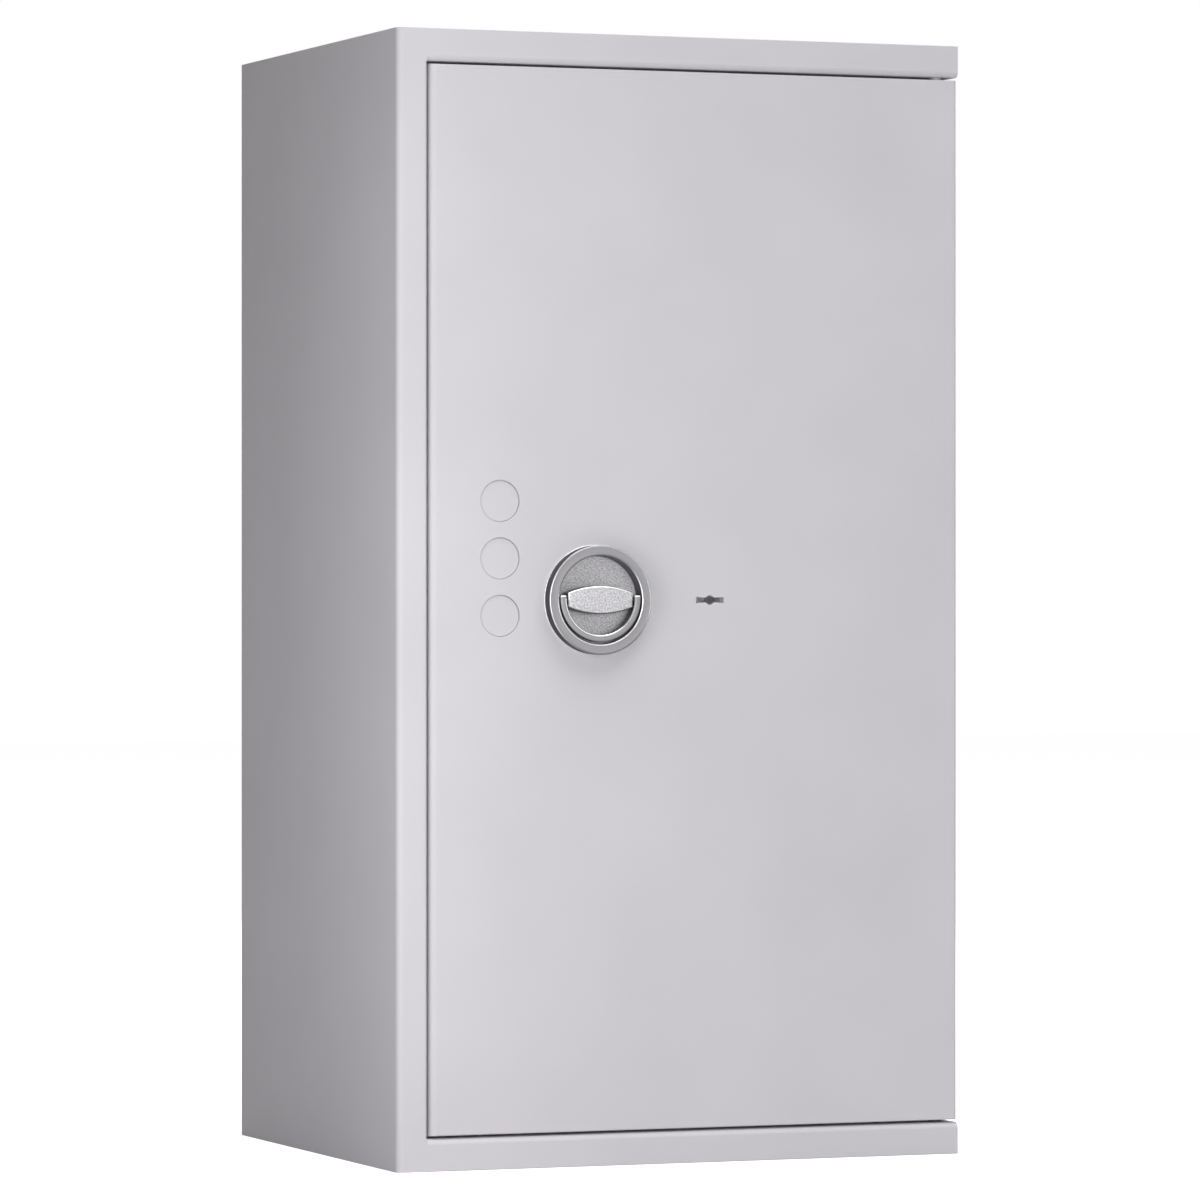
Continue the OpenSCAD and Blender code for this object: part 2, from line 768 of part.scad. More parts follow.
module rod_guides()
    color("silver")
        for (z = rod_guide_zs)
            difference() {
                along_z(z, z + guide_t)
                    round_rect([handle_x - guide_half, plate_y1],
                        [handle_x + guide_half, bolt_y + bolt_r + guide_wall], guide_corner_r);
                rod_z(handle_x, bolt_y, bolt_r + slide_gap, z - through, z + guide_t + through);
            }

// Flanged bush in the boltwork plate that the spindle turns in.
module spindle_bush()
    color("goldenrod")
        turned(handle_x, handle_z) {
            rect([spindle_r + running_gap, plate_y0], [spindle_r + bush_wall, plate_y1]);
            rect([spindle_r + running_gap, plate_y1],
                [spindle_r + bush_wall + bush_flange, plate_y1 + bush_flange_t]);
        }

// Block inside the door that leads the key from the door's face to the lock.
module keyhole_guide()
    color("gray")
        difference() {
            rod_y(lock_x, handle_z, drum_r + drum_gap, skin_back_y, plate_y0);
            keyhole(skin_back_y - through, plate_y0 + through, key_slide_gap);
        }

// Screw places in the lock's corners.
module at_lock_corners()
    for (x = [lock_case_x0 + lock_screw_inset, lock_case_x1 - lock_screw_inset], s = [-1, 1])
        translate([x, 0, handle_z + s * (lock_case_h / 2 - lock_screw_inset)]) children();

// Case of the key lock: floor, walls, screw pillars, and openings for drum and bolt.
module lock_case()
    color("silver")
        difference() {
            union() {
                difference() {
                    along_y(plate_y1, lock_y1 - lock_case_wall)
                        round_rect([lock_case_x0, handle_z - lock_case_h / 2],
                            [lock_case_x1, handle_z + lock_case_h / 2], lock_corner_r);
                    block([lock_case_x0 + lock_case_wall, plate_y1 + lock_case_wall,
                        handle_z - lock_case_h / 2 + lock_case_wall],
                        [lock_case_x1 - lock_case_wall, lock_y1,
                        handle_z + lock_case_h / 2 - lock_case_wall]);
                }
                at_lock_corners()
                    rod_y(0, 0, lock_pillar_r, plate_y1, lock_y1 - lock_case_wall);
            }
            rod_y(lock_x, handle_z, drum_r + running_gap,
                plate_y1 - through, plate_y1 + lock_case_wall + through);
            at_lock_corners() rod_y(0, 0, lock_screw_r + seat_gap, plate_y1 + lock_screw_floor, lock_y1);
            block([lock_case_x0 - through, lock_bolt_y - lock_bolt_t / 2 - slide_gap,
                handle_z - lock_bolt_h / 2 - slide_gap],
                [lock_case_x0 + lock_case_wall + through, lock_bolt_y + lock_bolt_t / 2 + slide_gap,
                handle_z + lock_bolt_h / 2 + slide_gap]);
        }

module lock_cover()
    color("silver")
        difference() {
            along_y(lock_y1 - lock_case_wall, lock_y1)
                round_rect([lock_case_x0, handle_z - lock_case_h / 2],
                    [lock_case_x1, handle_z + lock_case_h / 2], lock_corner_r);
            rod_y(lock_x, handle_z, journal_r + running_gap,
                lock_y1 - lock_case_wall - through, lock_y1 + through);
            at_lock_corners()
                rod_y(0, 0, lock_screw_r + seat_gap,
                    lock_y1 - lock_case_wall - through, lock_y1 + through);
        }

// A pan-head screw along Y whose head stands on the plane y.
module pan_screw(x, z, y, shank, r, head_r, head_h)
    turned(x, z) {
        rect([0, y - shank], [r, y]);
        difference() {
            rect([0, y], [head_r, y + head_h]);
            corner_waste([head_r, y + head_h], -1, -1, head_h / 2);
            rect([0, y + head_h / 2], [head_r / 3, y + head_h + through]);
        }
    }

module lock_screws()
    color("dimgray")
        at_lock_corners()
            pan_screw(0, 0, lock_y1, lock_case_d - lock_screw_floor - lock_screw_r, lock_screw_r,
                lock_screw_head_r, lock_screw_head_h);

// Places of the cover's posts.
cover_post_xs = [bar_x1 + post_r + post_bar_gap, cover_x1 - post_inset];
cover_post_zs = [cover_z0 + post_inset, (cover_z0 + handle_z) / 2, (cover_z1 + handle_z) / 2,
    cover_z1 - post_inset];

module at_cover_posts()
    for (x = cover_post_xs, z = cover_post_zs)
        translate([x, 0, z]) children();

// Posts between the boltwork plate and the rear cover, tapped for its screws.
module cover_posts()
    color("silver")
        at_cover_posts()
            difference() {
                rod_y(0, 0, post_r, plate_y1, cover_y1 - cover_t);
                rod_y(0, 0, screw_r + seat_gap, cover_y1 - cover_t - post_bore, cover_y1);
            }

// Sheet cover over the boltwork, with holes for bolts and rods in its edges.
module rear_cover()
    color("lightgray")
        difference() {
            union() {
                along_z(cover_z0, cover_z1)
                    folded([[cover_x0 + cover_t / 2, plate_y1],
                        [cover_x0 + cover_t / 2, cover_y1 - cover_t / 2],
                        [cover_x1 - cover_t / 2, cover_y1 - cover_t / 2],
                        [cover_x1 - cover_t / 2, plate_y1]], [cover_edge_r, cover_edge_r], cover_t);
                for (z = [cover_z0, cover_z1 - cover_t])
                    along_z(z, z + cover_t)
                        difference() {
                            rect([cover_x0, plate_y1], [cover_x1, cover_y1]);
                            corner_waste([cover_x0, cover_y1], 1, -1, cover_edge_r);
                            corner_waste([cover_x1, cover_y1], -1, -1, cover_edge_r);
                        }
            }
            for (z = side_bolt_zs)
                rod_x(bolt_y, z, bolt_r + cover_hole_gap, cover_x0 - through, cover_x0 + cover_edge_r);
            for (z = [cover_z0, cover_z1 - cover_t])
                rod_z(handle_x, bolt_y, bolt_r + cover_hole_gap, z - through, z + cover_t + through);
            at_cover_posts()
                rod_y(0, 0, screw_r + seat_gap, cover_y1 - cover_t - through, cover_y1 + through);
        }

module cover_screws()
    color("dimgray")
        at_cover_posts()
            pan_screw(0, 0, cover_y1, post_bore - post_bore_end, screw_r, screw_head_r, screw_head_h);

// --- Handle ---

// Turning handle: a ring with rounded lips, a skirt down to the rose and a deep round finger cup.
module handle_body()
    color("darkgray")
        turned(handle_x, handle_z) {
            difference() {
                rect([cup_r, ring_y], [ring_r, ring_y + ring_face_t]);
                corner_waste([ring_r, ring_y], -1, 1, lip_r);
                corner_waste([cup_r, ring_y], 1, 1, lip_r);
            }
            rect([ring_r - ring_skirt_t, ring_y + lip_r], [ring_r, rose_y0 - loose_gap]);
            rect([cup_r, ring_y + lip_r], [cup_out_r, cup_back_y]);
            rect([0, cup_floor_y], [cup_out_r, cup_back_y]);
        }

// The grip bar's outline: two shallow arcs between straight ends.
module bar_outline() {
    rise = (bar_mid_h - bar_end_h) / 2;
    arc_r = (pow(bar_len / 2, 2) + rise * rise) / (2 * rise);
    intersection() {
        translate([0, bar_mid_h / 2 - arc_r]) circle(r = arc_r, $fn = 256);
        translate([0, arc_r - bar_mid_h / 2]) circle(r = arc_r, $fn = 256);
        square([bar_len, bar_mid_h], center = true);
    }
}

// Bar across the cup that the hand turns and that carries the bail's pin.
module grip_bar()
    color("lightgray")
        translate([handle_x, 0, handle_z])
            difference() {
                along_y(ring_y, cup_floor_y) bar_outline();
                rod_x(bail_y, 0, bail_pin_r + seat_gap, -bar_len / 2 - through, bar_len / 2 + through);
            }

bail_in_r = bail_r - bail_w;
bail_pin_cover = 1.5;
bail_pin_half = bail_r - bail_pin_cover;

module bail_pin()
    color("dimgray")
        rod_x(bail_y, handle_z, bail_pin_r, handle_x - bail_pin_half, handle_x + bail_pin_half);

// Half disc below the bail's arc centre, running straight up to the tops of its arms.
module bail_shape(r)
    difference() {
        union() {
            translate([0, bail_arc_up]) circle(r = r, $fn = 128);
            rect([-r, bail_arc_up], [r, bail_top]);
        }
        rect([-ring_r, bail_top], [ring_r, ring_r + bail_arc_up]);
    }

// Folding bail: a half ring with straight arms, pivoted at the ends of the grip bar.
module bail()
    color("darkgray")
        translate([handle_x, 0, handle_z])
            difference() {
                along_y(ring_y, ring_y + bail_t) bail_shape(bail_r);
                along_y(ring_y - through, ring_y + bail_t + through) {
                    bail_shape(bail_in_r);
                    rect([-bail_in_r, bail_arc_up], [bail_in_r, bail_top + through]);
                }
                rod_x(bail_y, 0, bail_pin_r + running_gap, -bail_pin_half - running_gap,
                    bail_pin_half + running_gap);
            }

// Spindle from the cup through the plate's bush to the cam disc.
module spindle()
    color("silver") {
        rod_y(handle_x, handle_z, flange_r, cup_back_y, cup_back_y + flange_t);
        rod_y(handle_x, handle_z, spindle_r, cup_back_y + flange_t, cam_y0);
        translate([handle_x, 0, handle_z])
            along_y(cam_y0, cam_y1) square(square_side, center = true);
        rod_y(handle_x, handle_z, stub_r, cam_y1, cam_y1 + stub_len);
    }

// --- Cam disc ---

// A cam slot's middle line: its radius grows evenly with the angle, so a pin moves evenly with the handle.
slot_steps = 36;
slot_turn = 90;
function slot_r(a) = cam_pin_start + bolt_throw * a / slot_turn;
function polar(r, a) = [r * cos(a), r * sin(a)];

// Unit normal of that line at angle a: the tangent is (r', r) in radial and turning directions.
function slot_normal(a) =
    let (dr = bolt_throw / slot_turn * 180 / PI, r = slot_r(a), n = norm([dr, r]))
        [(r * cos(a) + dr * sin(a)) / n, (r * sin(a) - dr * cos(a)) / n];

function slot_edge(side, half) = [for (i = [0 : slot_steps])
    let (a = slot_turn * i / slot_steps) polar(slot_r(a), a) + side * half * slot_normal(a)];

// One spiral slot that starts at the angle of its pin, with round ends.
module cam_slot(start_angle) {
    half = cam_pin_r + slide_gap;
    other = slot_edge(-1, half);
    rotate(start_angle) {
        polygon(concat(slot_edge(1, half), [for (i = [slot_steps : -1 : 0]) other[i]]));
        translate(polar(slot_r(0), 0)) circle(r = half, $fn = 64);
        translate(polar(slot_r(slot_turn), slot_turn)) circle(r = half, $fn = 64);
    }
}

// Disc on the spindle with three spiral slots for the bolts' pins and two notches for the lock's bolt.
module cam_disc()
    color("silver")
        translate([handle_x, 0, handle_z])
            along_y(cam_y0, cam_y1)
                difference() {
                    circle(r = cam_r, $fn = 128);
                    for (a = [90, 180, 270]) cam_slot(a);
                    square(square_side + 2 * seat_gap, center = true);
                    for (a = [0, 90])
                        rotate(a)
                            rect([notch_floor, -lock_bolt_h / 2 - notch_gap],
                                [cam_r + through, lock_bolt_h / 2 + notch_gap]);
                }

module circlip()
    color("dimgray")
        translate([handle_x, 0, handle_z])
            along_y(cam_y1, cam_y1 + circlip_t)
                difference() {
                    circle(r = stub_r + clip_ring_w, $fn = 64);
                    circle(r = stub_r + seat_gap, $fn = 64);
                    rect([-clip_mouth, -stub_r - clip_ring_w - through], [clip_mouth, 0]);
                }

// --- Bolts ---

// Upright bar that carries the side bolts, with an arm to the cam disc and a pin in its slot.
module side_bolt_bar()
    color("silver") {
        pin_x = handle_x - cam_pin_start;
        along_y(link_y0, link_y1) {
            rect([bar_x0, side_bolt_zs[0] - bar_over], [bar_x1, side_bolt_zs[2] + bar_over]);
            rect([bar_x0, handle_z - link_w / 2], [pin_x, handle_z + link_w / 2]);
            translate([pin_x, handle_z]) circle(r = link_w / 2, $fn = 64);
        }
        rod_y(pin_x, handle_z, cam_pin_r, cam_y0 - pin_over, link_y0);
    }

// A round bolt of length l along +Z with a bevelled tip.
module pointed_rod(l)
    rotate_extrude($fn = 96)
        polygon([[0, 0], [bolt_r, 0], [bolt_r, l - tip_bevel], [bolt_r - tip_bevel, l], [0, l]]);

// The three round side bolts.
module side_bolts()
    color("silver")
        for (z = side_bolt_zs)
            translate([bar_x0, bolt_y, z]) rotate([0, -90, 0]) pointed_rod(bar_x0 - bolt_tip_x);

// The upper rod: a link with its cam pin, and a round rod up to the top rail's lip.
module bolt_rod() {
    pin_z = handle_z + cam_pin_start;
    along_y(link_y0, link_y1) {
        rect([handle_x - link_w / 2, pin_z], [handle_x + link_w / 2, handle_z + rod_start]);
        translate([handle_x, pin_z]) circle(r = link_w / 2, $fn = 64);
    }
    rod_y(handle_x, pin_z, cam_pin_r, cam_y0 - pin_over, link_y0);
}

module top_bolt_rod()
    color("silver") {
        bolt_rod();
        translate([handle_x, bolt_y, handle_z + rod_start - rod_lap])
            pointed_rod(rod_tip_z1 - handle_z - rod_start + rod_lap);
    }

module bottom_bolt_rod()
    color("silver") {
        translate([0, 0, 2 * handle_z]) mirror([0, 0, 1]) bolt_rod();
        translate([handle_x, bolt_y, handle_z - rod_start + rod_lap]) mirror([0, 0, 1])
            pointed_rod(handle_z - rod_start + rod_lap - rod_tip_z0);
    }

// --- Lock ---

// Drum that the key turns: a round body with the key's slot and a rear journal.
module key_drum()
    color("silver")
        difference() {
            union() {
                rod_y(lock_x, handle_z, drum_r, plate_y1, lock_y1 - lock_case_wall - drum_end_gap);
                rod_y(lock_x, handle_z, journal_r, lock_y1 - lock_case_wall - drum_end_gap, lock_y1);
            }
            keyhole(plate_y1 - through, lock_y1 - lock_case_wall - 2 * drum_end_gap, key_slide_gap);
        }

// The lock's own bolt, which blocks the cam disc.
module lock_bolt()
    color("silver")
        block([lock_bolt_tip, lock_bolt_y - lock_bolt_t / 2, handle_z - lock_bolt_h / 2],
            [lock_x - drum_r - drum_end_gap, lock_bolt_y + lock_bolt_t / 2, handle_z + lock_bolt_h / 2]);

left_side_panel();
left_stop_angle();
right_side_panel();
roof_panel();
floor_panel();
top_rail();
bottom_rail();
back_panel();
hinge_side_angle();
shelf_rails();
shelf_clips();
lower_shelf();
upper_shelf();
pivot_pins();
pivot_washers();
door_skin();
pivot_bushes();
blanking_disc(1);  // blanking_disc_1
blanking_disc(0);  // blanking_disc_2
blanking_disc(-1);  // blanking_disc_3
handle_rose();
rose_nut();
boltwork_plate();
hinge_dog_bar();
bolt_guides();
rod_guides();
spindle_bush();
keyhole_guide();
lock_case();
lock_cover();
lock_screws();
cover_posts();
rear_cover();
cover_screws();
handle_body();
grip_bar();
bail_pin();
spindle();
cam_disc();
circlip();
bail();
side_bolt_bar();
side_bolts();
top_bolt_rod();
bottom_bolt_rod();
key_drum();
lock_bolt();
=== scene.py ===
"""A powder coated steel security cabinet with a key-locked boltwork door.

This gives the cabinet its finishes, the handle its rounded castings, and adds the light and the
camera. Lengths are in metres in the cabinet's frame: X to the hinge side, Y to the back, Z up.
"""
import math

import bmesh
import bpy
import numpy as np
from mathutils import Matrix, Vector


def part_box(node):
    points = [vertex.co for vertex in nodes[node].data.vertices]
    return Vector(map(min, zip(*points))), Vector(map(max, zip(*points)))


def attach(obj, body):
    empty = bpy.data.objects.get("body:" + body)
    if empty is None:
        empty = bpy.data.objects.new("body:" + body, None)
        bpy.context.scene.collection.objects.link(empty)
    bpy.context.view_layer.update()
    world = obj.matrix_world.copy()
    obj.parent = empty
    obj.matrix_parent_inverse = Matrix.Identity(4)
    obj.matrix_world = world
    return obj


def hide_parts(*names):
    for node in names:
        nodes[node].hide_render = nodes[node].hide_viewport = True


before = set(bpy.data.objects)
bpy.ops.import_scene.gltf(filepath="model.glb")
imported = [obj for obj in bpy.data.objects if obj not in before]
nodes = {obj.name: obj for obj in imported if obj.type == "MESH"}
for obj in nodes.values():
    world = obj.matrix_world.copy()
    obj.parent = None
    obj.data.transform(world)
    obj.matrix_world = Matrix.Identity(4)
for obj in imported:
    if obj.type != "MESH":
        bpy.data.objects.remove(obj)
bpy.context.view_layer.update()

MM = 0.001


# ---------------------------------------------------------------- helpers


def linear(code):
    """An sRGB hex code as linear red, green, blue and alpha 1."""
    srgb = np.array([int(code[i : i + 2], 16) for i in (1, 3, 5)]) / 255
    rgb = np.where(srgb <= 0.04045, srgb / 12.92, ((srgb + 0.055) / 1.055) ** 2.4)
    return (*map(float, rgb), 1.0)


def add(tree, kind, values=None, wires=None, **settings):
    """Adds one shader node with its settings, socket values and the outputs wired to it."""
    node = tree.nodes.new("ShaderNode" + kind)
    for key, value in settings.items():
        setattr(node, key, value)
    for socket, value in (values or {}).items():
        node.inputs[socket].default_value = value
    for socket, output in (wires or {}).items():
        tree.links.new(output, node.inputs[socket])
    return node


def finish(name, **values):
    """A new material with one principled shader.

    Gives the material, its node tree, the shader and the place on the piece.
    """
    material = bpy.data.materials.new(name)
    material.use_nodes = True
    tree = material.node_tree
    tree.nodes.clear()
    sockets = {key.replace("_", " "): value for key, value in values.items()}
    shader = add(tree, "BsdfPrincipled", sockets)
    add(tree, "OutputMaterial", wires={"Surface": shader.outputs["BSDF"]})
    return material, tree, shader, add(tree, "TexCoord").outputs["Object"]


def grain(tree, place, size_mm, detail=2.0, rough=0.5):
    """Noise whose lumps are about size_mm across."""
    values = {"Scale": 1000 / size_mm, "Detail": detail, "Roughness": rough}
    return add(tree, "TexNoise", values, {"Vector": place}).outputs["Fac"]


NOISE_SPAN = (0.3, 0.7)
WHOLE_SPAN = (0, 1)


def between(tree, factor, low, high, span=NOISE_SPAN):
    """Maps factor over span to colours or numbers between low and high."""
    if isinstance(low, str):
        ramp = add(tree, "ValToRGB", wires={"Fac": factor})
        for element, at, code in zip(ramp.color_ramp.elements, span, (low, high)):
            element.position = at
            element.color = linear(code)
        return ramp.outputs["Color"]
    values = {"From Min": span[0], "From Max": span[1], "To Min": low, "To Max": high}
    return add(tree, "MapRange", values, {"Value": factor}).outputs["Result"]


def bumps(tree, shader, height, depth_mm):
    """Raises and lowers the surface by depth_mm with height."""
    values = {"Strength": 1.0, "Distance": depth_mm * MM}
    bump = add(tree, "Bump", values, {"Height": height})
    tree.links.new(bump.outputs["Normal"], shader.inputs["Normal"])


# ---------------------------------------------------------------- finishes


def powder_coat():
    """Polyester powder coat, sprayed dry and stoved: light grey with a breath of lilac, semi-matt.

    The melt leaves an orange peel 1 to 2 mm across, drawn 3 mm across so that it shows. The
    coat's thickness, and with it the tone, varies a little over a hand's breadth, 140 mm.
    """
    material, tree, shader, place = finish(
        "powder_coat_light_grey", Roughness=0.55, IOR=1.5, Specular_IOR_Level=0.2
    )
    cloud = grain(tree, place, 140)
    tree.links.new(between(tree, cloud, "#d4d1d6", "#d9d6db"), shader.inputs["Base Color"])
    bumps(tree, shader, grain(tree, place, 3.0, 1.0), 0.02)
    return material


def zinc_plate():
    """Electroplated zinc, passivated clear: a cool, dull pale metal.

    Its cloudy bloom is some 10 mm across.
    """
    name = "zinc_plate_clear_passivated"
    material, tree, shader, place = finish(name, Metallic=1.0, Roughness=0.55)
    cloud = grain(tree, place, 10, 3.0)
    tree.links.new(between(tree, cloud, "#98999b", "#a9aaac"), shader.inputs["Base Color"])
    tree.links.new(between(tree, cloud, 0.5, 0.62), shader.inputs["Roughness"])
    bumps(tree, shader, grain(tree, place, 0.8, 2.0), 0.008)
    return material


def satin_zinc():
    """Zinc die casting with a satin blast: a mid grey metal.

    Its fine tooth is under 0.1 mm, drawn 0.7 mm so that it shows.
    """
    material, tree, shader, place = finish("zinc_casting_satin", Metallic=1.0, Roughness=0.42)
    tooth = grain(tree, place, 0.7, 2.0)
    tree.links.new(between(tree, tooth, "#767577", "#7e7d7f"), shader.inputs["Base Color"])
    bumps(tree, shader, tooth, 0.006)
    return material


def painted_highlight_edge(name, towards, shade_at, highlight_at, highlight_colour):
    """The same casting, polished smoother at an edge, with a painted highlight lightening its
    colour there.

    The painted highlight grows along the direction towards, the side the light comes from, between
    its two given distances (metres) from the handle's axis: dark at the first, full at the second.
    """
    material, tree, shader, place = finish(name, Metallic=1.0, Roughness=0.25)
    axis = {1: (handle_x, 0, handle_z)}
    from_axis = add(tree, "VectorMath", axis, {0: place}, operation="SUBTRACT").outputs[0]
    along = add(tree, "VectorMath", {1: towards}, {0: from_axis}, operation="DOT_PRODUCT")
    # painted highlight: the edge's colour rises from dark grey to the highlight colour along
    # towards
    highlight = between(tree, along.outputs["Value"], 0.0, 1.0, (shade_at, highlight_at))
    tone = between(tree, highlight, "#68676a", highlight_colour, WHOLE_SPAN)
    tree.links.new(tone, shader.inputs["Base Color"])
    return material


def cast_wall(name, dark, light):
    """A wall of a zinc casting as it left the die, with faint flow marks 3 mm across."""
    material, tree, shader, place = finish(name, Metallic=1.0, Roughness=0.5)
    flow = grain(tree, place, 3.0, 3.0)
    tree.links.new(between(tree, flow, dark, light), shader.inputs["Base Color"])
    bumps(tree, shader, flow, 0.01)
    return material


def grained(name, dark, light, depth_mm):
    """Zinc casting with a sparkling, spark-eroded grain.

    Its grit is 0.4 mm, drawn 1.3 mm so that it shows.
    """
    material, tree, shader, place = finish(name, Metallic=1.0, Roughness=0.5)
    grit = grain(tree, place, 1.3, 3.0, 0.7)
    tree.links.new(between(tree, grit, dark, light, (0.4, 0.6)), shader.inputs["Base Color"])
    bumps(tree, shader, grit, depth_mm)
    return material


def black_steel():
    """Chemically blackened steel: near black, oiled, with a soft sheen."""
    material, tree, shader, place = finish("steel_blackened", Metallic=0.7, Roughness=0.45)
    cloud = grain(tree, place, 5, 3.0)
    tree.links.new(between(tree, cloud, "#2a2a2c", "#3a3a3c"), shader.inputs["Base Color"])
    bumps(tree, shader, grain(tree, place, 0.6, 2.0), 0.01)
    return material


def washers_lit_and_shaded(switch_z):
    """Steel washers, one material: light grey above the height switch_z as painted light, and near
    black below it as painted shade.
    """
    material, tree, shader, place = finish("steel_washers", Metallic=0.3, Roughness=0.6)
    height = add(tree, "SeparateXYZ", wires={0: place}).outputs["Z"]
    # painted light on the upper washer and painted shade on the lower one, switched by height
    painted_lit_upper = between(tree, height, 0.0, 1.0, (switch_z - MM, switch_z + MM))
    tone = between(tree, painted_lit_upper, "#2e2e30", "#b4b4b6", WHOLE_SPAN)
    tree.links.new(tone, shader.inputs["Base Color"])
    bumps(tree, shader, grain(tree, place, 0.6, 2.0), 0.01)
    return material


def turned_brass():
    """Turned brass, slightly tarnished: warm yellow, duller in clouds 6 mm across."""
    material, tree, shader, place = finish("brass_turned", Metallic=1.0, Roughness=0.3)
    cloud = grain(tree, place, 6, 3.0)
    tree.links.new(between(tree, cloud, "#b8985a", "#d0b06e"), shader.inputs["Base Color"])
    tree.links.new(between(tree, cloud, 0.38, 0.26), shader.inputs["Roughness"])
    return material


def painted_light_guide():
    """Near white and glossy, with slow waves 8 mm across: painted light, made near white so the
    shaded inside of the keyhole reads lighter.
    """
    material, tree, shader, place = finish("keyhole_guide_painted_light", Roughness=0.3, Specular_IOR_Level=0.4)
    wave = grain(tree, place, 8.0, 1.0)
    tree.links.new(between(tree, wave, "#efedf0", "#f5f3f6"), shader.inputs["Base Color"])
    bumps(tree, shader, wave, 0.02)
    return material


satin = satin_zinc()
cup_wall = cast_wall("zinc_casting_cup_wall", "#7c7a7e", "#868488")
# the skirt is the casting made darker: painted shade on its side wall
skirt_painted_shade = cast_wall("zinc_casting_skirt_painted_shade", "#49474a", "#535155")
grit_bar = grained("zinc_casting_light_grain", "#878689", "#b3b2b4", 0.05)
grit_floor = grained("zinc_casting_mid_grain", "#757477", "#9e9d9f", 0.05)
by_slot = {
    "powder_coat": powder_coat(),
    "zinc_plated_steel": zinc_plate(),
    "satin_die_casting": satin,
    "grained_die_casting": grit_bar,
    "black_steel": black_steel(),
    "brass": turned_brass(),
}
for node in nodes.values():
    for socket in node.material_slots:
        slot = socket.material.name.split(".")[0]
        socket.link = "OBJECT"
        socket.material = by_slot[slot]
door_low, door_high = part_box("door_skin")
own_finish = {
    "pivot_washers": washers_lit_and_shaded((door_low.z + door_high.z) / 2),
    "keyhole_guide": painted_light_guide(),
    # the key drum is the casting made near white: painted light inside the keyhole
    "key_drum": cast_wall("zinc_casting_key_drum_painted_light", "#d2ced3", "#dcd8dd"),
}
for name, material in own_finish.items():
    nodes[name].material_slots[0].material = material


# ---------------------------------------------------------------- surfaces

ARC_STEPS = 6
QUARTER = np.linspace(0, np.pi / 2, ARC_STEPS + 1)


def rounded(corners, radii):
    """A path through corners with each one rounded by its radius.

    The arc at a corner starts and ends where its radius touches both sides, and turns evenly
    between them. Gives the points and a tag for the way that leaves each one: 2i - 1 on the arc
    at corner i, and 2i on the straight after it.
    """
    points, tags = [corners[:1]], [np.zeros(1, int)]
    for i in range(1, len(corners) - 1):
        at = corners[i]
        a = corners[i - 1] - at
        b = corners[i + 1] - at
        a /= np.linalg.norm(a)
        b /= np.linalg.norm(b)
        half = np.arccos(np.clip(a @ b, -1, 1)) / 2
        if radii[i] <= 0:
            points.append(at[None])
            tags.append(np.full(1, 2 * i))
            continue
        centre = at + (a + b) / np.linalg.norm(a + b) * radii[i] / np.sin(half)
        reach = radii[i] / np.tan(half)
        first = at + a * reach - centre
        last = at + b * reach - centre
        turn = np.arccos(np.clip(first @ last / radii[i] ** 2, -1, 1))
        t = np.linspace(0, 1, ARC_STEPS + 1)[:, None]
        arc = (np.sin((1 - t) * turn) * first + np.sin(t * turn) * last) / np.sin(turn)
        points.append(centre + arc)
        tags.append(np.append(np.full(ARC_STEPS, 2 * i - 1), 2 * i))
    points.append(corners[-1:])
    tags.append(np.zeros(1, int))
    return np.concatenate(points), np.concatenate(tags)


def square_section(width, depth, radius):
    """A rectangle with rounded corners.

    Each quarter circle's centre sits in from its corner by radius.
    """
    starts = np.arange(4) * np.pi / 2
    angle = (starts[:, None] + QUARTER).ravel()
    side = np.array([[1, 1], [-1, 1], [-1, -1], [1, -1]]).repeat(len(QUARTER), axis=0)
    across = side[:, 0] * (width / 2 - radius) + radius * np.cos(angle)
    deep = side[:, 1] * (depth / 2 - radius) + radius * np.sin(angle)
    return across, deep


MERGE_DISTANCE = 0.001 * MM
SHARP_EDGE = math.radians(40)


def piece(name, grid, finishes, body, stands_for, bands=None):
    """A closed surface from a grid of points.

    Rows run along the first axis and join up round the second, and rows shrunk to a point become
    poles. bands gives each row of faces the number of its finish. Faces are shaded smooth, except
    across edges sharper than SHARP_EDGE.
    """
    rows, columns = grid.shape[:2]
    index = np.arange(rows * columns).reshape(rows, columns)
    after = np.roll(index, -1, axis=1)
    faces = np.stack([index[:-1], after[:-1], after[1:], index[1:]], axis=-1).reshape(-1, 4)
    mesh = bpy.data.meshes.new(name)
    mesh.from_pydata(grid.reshape(-1, 3).tolist(), [], faces.tolist())
    for material in finishes:
        mesh.materials.append(material)
    if bands is not None:
        mesh.polygons.foreach_set("material_index", np.repeat(bands, columns).astype(np.int32))
    shape = bmesh.new()
    shape.from_mesh(mesh)
    bmesh.ops.remove_doubles(shape, verts=shape.verts, dist=MERGE_DISTANCE)
    bmesh.ops.recalc_face_normals(shape, faces=shape.faces)
    shape.to_mesh(mesh)
    shape.free()
    mesh.polygons.foreach_set("use_smooth", np.ones(len(mesh.polygons), bool))
    mesh.update()
    mesh.set_sharp_from_angle(angle=SHARP_EDGE)
    made = bpy.data.objects.new(name, mesh)
    bpy.context.scene.collection.objects.link(made)
    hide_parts(stands_for)
    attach(made, body)
    return made


# ---------------------------------------------------------------- handle

